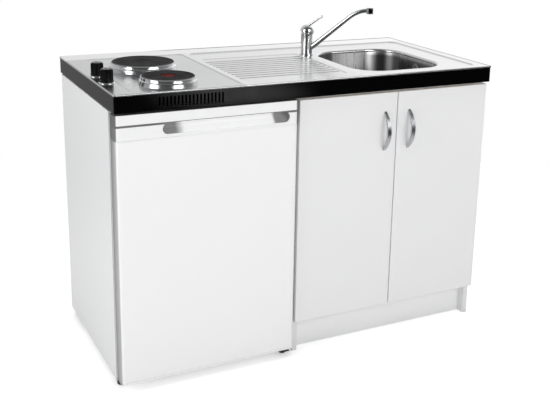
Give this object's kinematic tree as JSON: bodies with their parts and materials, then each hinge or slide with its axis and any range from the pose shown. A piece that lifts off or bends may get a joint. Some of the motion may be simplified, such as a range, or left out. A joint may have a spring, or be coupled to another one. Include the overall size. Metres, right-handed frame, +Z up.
{
  "type": "kitchenette unit",
  "caption": "Kitchenette: pressed steel worktop with electric hotplates, drainer, sink bowl and mixer tap, above an undercounter refrigerator and a base cabinet with doors.",
  "frame": {"origin": "centre of the unit's footprint box, on the floor", "axes": "+X to the right seen from the front, +Y to the wall behind, +Z up; the doors face -Y"},
  "size_m": [1.2, 0.614, 1.0094],
  "materials": {
    "stainless": "satin",
    "black_band": "gloss",
    "timber": "raw",
    "zinc_steel": "zinc plated",
    "hotplate_iron": "coated",
    "chrome": "polished",
    "black_plastic": "gloss",
    "beige_plastic": "moulded",
    "brass_body": "machined",
    "copper_pipe": "drawn",
    "white_waste": "moulded",
    "white_board": "white melamine",
    "grey_handle": "satin",
    "fridge_white": "gloss enamel",
    "liner_white": "moulded",
    "seal_grey": "soft",
    "clear_plastic": "translucent",
    "shelf_glass": "clear",
    "black_metal": "semi gloss",
    "foot_black": "moulded"
  },
  "bodies": {
    "unit": {"worktop_sheet": "stainless", "sink_bowl": "stainless", "front_band": "black_band", "side_bands": "black_band", "support_frame": "timber", "hob_tray": "zinc_steel", "hotplate_rear": "hotplate_iron", "hotplate_front": "hotplate_iron", "spill_ring_rear": "chrome", "spill_ring_front": "chrome", "hob_switches": "beige_plastic", "knob_bezels": "chrome", "tap_body": "chrome", "tap_fixing": "brass_body", "tap_tails": "copper_pipe", "waste_flange": "chrome", "waste_body": "white_waste", "trap_body": "white_waste", "outlet_pipe": "white_waste", "overflow_grid": "chrome", "overflow_pipe": "white_waste", "partition_panel": "white_board", "right_side_panel": "white_board", "cabinet_floor": "white_board", "plinth": "white_board", "front_rail": "white_board", "back_rail": "white_board", "back_panel": "white_board", "hinge_arms": "zinc_steel", "fridge_body": "fridge_white", "fridge_liner": "liner_white", "glass_shelves": "shelf_glass", "crisper": "clear_plastic", "icebox": "liner_white", "icebox_flap": "liner_white", "thermostat_housing": "liner_white", "compressor": "black_metal", "condenser": "black_metal", "fridge_hinges": "black_metal", "fridge_feet": "foot_black"},
    "fridge_door": {"fridge_door_panel": "fridge_white", "fridge_grip_strip": "liner_white", "fridge_door_liner": "liner_white", "door_gasket": "seal_grey", "door_racks": "clear_plastic", "bottle_rack": "clear_plastic"},
    "cabinet_door_left": {"cabinet_door_left": "white_board", "handle_left": "grey_handle", "hinge_cups_left": "zinc_steel"},
    "cabinet_door_right": {"cabinet_door_right": "white_board", "handle_right": "grey_handle", "hinge_cups_right": "zinc_steel"},
    "knob_rear": {"knob_rear": "black_plastic"},
    "knob_front": {"knob_front": "black_plastic"},
    "tap_spout": {"tap_spout": "chrome", "tap_aerator": "chrome"},
    "tap_turret": {"tap_turret": "chrome"},
    "tap_lever": {"tap_lever": "chrome"},
    "strainer": {"strainer_basket": "stainless"},
    "thermostat_knob": {"thermostat_knob": "liner_white"}
  },
  "joints": [
    {"name": "fridge_door_hinge", "type": "hinge", "parent": "unit", "child": "fridge_door", "pos_m": [-0.094, -0.267, 0.411], "axis": [0, 0, 1], "range_deg": [0, 110]},
    {"name": "cabinet_door_right_hinge", "type": "hinge", "parent": "unit", "child": "cabinet_door_right", "pos_m": [0.5914, -0.2695, 0.4465], "axis": [0, 0, 1], "range_deg": [0, 95]},
    {"name": "cabinet_door_left_hinge", "type": "hinge", "parent": "unit", "child": "cabinet_door_left", "pos_m": [-0.0534, -0.2695, 0.4465], "axis": [0, 0, 1], "range_deg": [-95, 0]},
    {"name": "knob_rear_turn", "type": "hinge", "parent": "unit", "child": "knob_rear", "pos_m": [-0.572, -0.036, 0.8534], "axis": [0, 0, 1], "continuous": true},
    {"name": "knob_front_turn", "type": "hinge", "parent": "unit", "child": "knob_front", "pos_m": [-0.572, -0.135, 0.8534], "axis": [0, 0, 1], "continuous": true},
    {"name": "tap_spout_swivel", "type": "hinge", "parent": "unit", "child": "tap_spout", "pos_m": [0.15, 0.097, 0.875], "axis": [0, 0, 1], "range_deg": [-110, 100]},
    {"name": "tap_lever_turn", "type": "hinge", "parent": "unit", "child": "tap_turret", "pos_m": [0.15, 0.097, 0.9], "axis": [0, 0, 1], "range_deg": [-50, 50]},
    {"name": "tap_lever_lift", "type": "hinge", "parent": "tap_turret", "child": "tap_lever", "pos_m": [0.15, 0.097, 0.9226], "axis": [-0.6428, -0.766, 0], "range_deg": [0, 25]},
    {"name": "strainer_lift", "type": "slide", "parent": "unit", "child": "strainer", "axis": [0, 0, 1], "range_m": [0, 0.08]},
    {"name": "thermostat_turn", "type": "hinge", "parent": "unit", "child": "thermostat_knob", "pos_m": [-0.137, -0.056, 0.58], "axis": [-1, 0, 0], "range_deg": [0, 270]}
  ]
}
